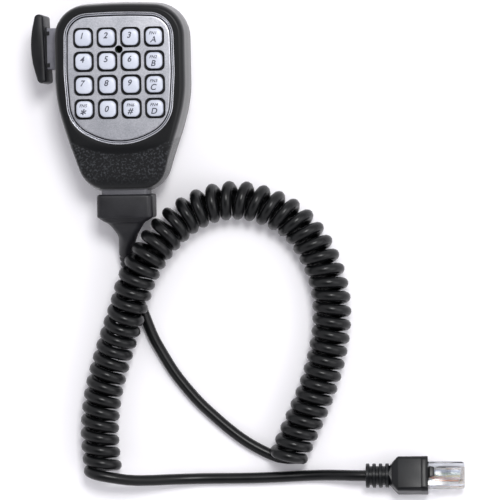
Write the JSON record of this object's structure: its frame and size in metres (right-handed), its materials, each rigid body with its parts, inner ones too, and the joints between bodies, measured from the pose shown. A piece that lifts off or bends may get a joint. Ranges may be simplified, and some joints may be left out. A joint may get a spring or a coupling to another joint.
{
  "type": "hand microphone",
  "caption": "Hand microphone with a keypad, side push-to-talk bar, hang-up button on the back, curly cord and modular plug.",
  "frame": {"origin": "centre of the flat end face of the hang-up button on the back of the case, on the surface that the microphone lies on", "axes": "+X to the right across the keypad, +Y from the cord end to the top of the case, +Z out of the keypad"},
  "size_m": [0.1916, 0.225, 0.0344],
  "materials": {
    "case_abs": "fine moulded texture, satin",
    "panel_paint": "silver metallic paint",
    "trim_chrome": "bright plated",
    "key_rubber": "translucent satin silicone",
    "black_rubber": "matt",
    "board_laminate": "solder-masked laminate",
    "component_black": "moulded epoxy",
    "white_nylon": "moulded nylon",
    "plated_steel": "zinc plated",
    "bush_rubber": "satin moulded",
    "cord_jacket": "glossy flexible jacket",
    "clear_plastic": "clear moulded polycarbonate",
    "contact_gold": "gold plated"
  },
  "bodies": {
    "case": {"front_case": "case_abs", "rear_case": "case_abs", "keypad_panel": "panel_paint", "panel_trim": "trim_chrome", "key_mat": "black_rubber", "mic_sleeve": "black_rubber", "circuit_board": "board_laminate", "encoder_chip": "component_black", "switch_body": "component_black", "cord_socket": "white_nylon", "inner_plug": "white_nylon", "mic_capsule": "plated_steel", "ptt_spring": "plated_steel", "hang_up_screw": "plated_steel", "hang_up_button": "plated_steel", "case_screw_1": "plated_steel", "case_screw_2": "plated_steel", "case_screw_3": "plated_steel", "case_screw_4": "plated_steel", "board_screw_1": "plated_steel", "board_screw_2": "plated_steel", "board_screw_3": "plated_steel", "board_screw_4": "plated_steel", "strain_relief": "bush_rubber", "plug_boot": "bush_rubber", "cord_lead_mic": "cord_jacket", "cord_coil": "cord_jacket", "cord_lead_plug": "cord_jacket", "inner_lead": "cord_jacket", "plug_body": "clear_plastic", "contact_1": "contact_gold", "contact_2": "contact_gold", "contact_3": "contact_gold", "contact_4": "contact_gold", "contact_5": "contact_gold", "contact_6": "contact_gold", "contact_7": "contact_gold", "contact_8": "contact_gold"},
    "ptt": {"ptt_button": "case_abs"},
    "key_1": {"key_1": "key_rubber"},
    "key_2": {"key_2": "key_rubber"},
    "key_3": {"key_3": "key_rubber"},
    "key_a": {"key_a": "key_rubber"},
    "key_4": {"key_4": "key_rubber"},
    "key_5": {"key_5": "key_rubber"},
    "key_6": {"key_6": "key_rubber"},
    "key_b": {"key_b": "key_rubber"},
    "key_7": {"key_7": "key_rubber"},
    "key_8": {"key_8": "key_rubber"},
    "key_9": {"key_9": "key_rubber"},
    "key_c": {"key_c": "key_rubber"},
    "key_star": {"key_star": "key_rubber"},
    "key_0": {"key_0": "key_rubber"},
    "key_hash": {"key_hash": "key_rubber"},
    "key_d": {"key_d": "key_rubber"},
    "plunger": {"switch_plunger": "white_nylon"},
    "lever": {"switch_lever": "plated_steel"},
    "latch": {"plug_latch": "clear_plastic"}
  },
  "joints": [
    {"name": "key_1_press", "type": "slide", "parent": "case", "child": "key_1", "axis": [0, 0, -1], "range_m": [0, 0.001], "stiffness_N_per_m": 300, "springref_m": -0.002},
    {"name": "key_2_press", "type": "slide", "parent": "case", "child": "key_2", "axis": [0, 0, -1], "range_m": [0, 0.001], "stiffness_N_per_m": 300, "springref_m": -0.002},
    {"name": "key_3_press", "type": "slide", "parent": "case", "child": "key_3", "axis": [0, 0, -1], "range_m": [0, 0.001], "stiffness_N_per_m": 300, "springref_m": -0.002},
    {"name": "key_a_press", "type": "slide", "parent": "case", "child": "key_a", "axis": [0, 0, -1], "range_m": [0, 0.001], "stiffness_N_per_m": 300, "springref_m": -0.002},
    {"name": "key_4_press", "type": "slide", "parent": "case", "child": "key_4", "axis": [0, 0, -1], "range_m": [0, 0.001], "stiffness_N_per_m": 300, "springref_m": -0.002},
    {"name": "key_5_press", "type": "slide", "parent": "case", "child": "key_5", "axis": [0, 0, -1], "range_m": [0, 0.001], "stiffness_N_per_m": 300, "springref_m": -0.002},
    {"name": "key_6_press", "type": "slide", "parent": "case", "child": "key_6", "axis": [0, 0, -1], "range_m": [0, 0.001], "stiffness_N_per_m": 300, "springref_m": -0.002},
    {"name": "key_b_press", "type": "slide", "parent": "case", "child": "key_b", "axis": [0, 0, -1], "range_m": [0, 0.001], "stiffness_N_per_m": 300, "springref_m": -0.002},
    {"name": "key_7_press", "type": "slide", "parent": "case", "child": "key_7", "axis": [0, 0, -1], "range_m": [0, 0.001], "stiffness_N_per_m": 300, "springref_m": -0.002},
    {"name": "key_8_press", "type": "slide", "parent": "case", "child": "key_8", "axis": [0, 0, -1], "range_m": [0, 0.001], "stiffness_N_per_m": 300, "springref_m": -0.002},
    {"name": "key_9_press", "type": "slide", "parent": "case", "child": "key_9", "axis": [0, 0, -1], "range_m": [0, 0.001], "stiffness_N_per_m": 300, "springref_m": -0.002},
    {"name": "key_c_press", "type": "slide", "parent": "case", "child": "key_c", "axis": [0, 0, -1], "range_m": [0, 0.001], "stiffness_N_per_m": 300, "springref_m": -0.002},
    {"name": "key_star_press", "type": "slide", "parent": "case", "child": "key_star", "axis": [0, 0, -1], "range_m": [0, 0.001], "stiffness_N_per_m": 300, "springref_m": -0.002},
    {"name": "key_0_press", "type": "slide", "parent": "case", "child": "key_0", "axis": [0, 0, -1], "range_m": [0, 0.001], "stiffness_N_per_m": 300, "springref_m": -0.002},
    {"name": "key_hash_press", "type": "slide", "parent": "case", "child": "key_hash", "axis": [0, 0, -1], "range_m": [0, 0.001], "stiffness_N_per_m": 300, "springref_m": -0.002},
    {"name": "key_d_press", "type": "slide", "parent": "case", "child": "key_d", "axis": [0, 0, -1], "range_m": [0, 0.001], "stiffness_N_per_m": 300, "springref_m": -0.002},
    {"name": "ptt_press", "type": "slide", "parent": "case", "child": "ptt", "axis": [1, 0, 0], "range_m": [0, 0.0025], "stiffness_N_per_m": 600, "springref_m": -0.004, "deforming": ["ptt_spring"]},
    {"name": "lever_swing", "type": "hinge", "parent": "case", "child": "lever", "pos_m": [-0.01711, 0.0088, 0.0229], "axis": [0, 0, -1], "range_deg": [0, 12]},
    {"name": "plunger_press", "type": "slide", "parent": "case", "child": "plunger", "axis": [1, 0, 0], "range_m": [0, 0.0009]},
    {"name": "latch_press", "type": "hinge", "parent": "case", "child": "latch", "pos_m": [0.14976, -0.17713, 0.01126], "axis": [0, -0.9397, 0.342], "range_deg": [0, 10], "stiffness_Nm_per_rad": 0.05}
  ],
  "couplings": [
    {"joint": "lever_swing", "follows": "ptt_press", "rad_per_m": 82.095},
    {"joint": "plunger_press", "follows": "ptt_press", "ratio": 0.326}
  ]
}
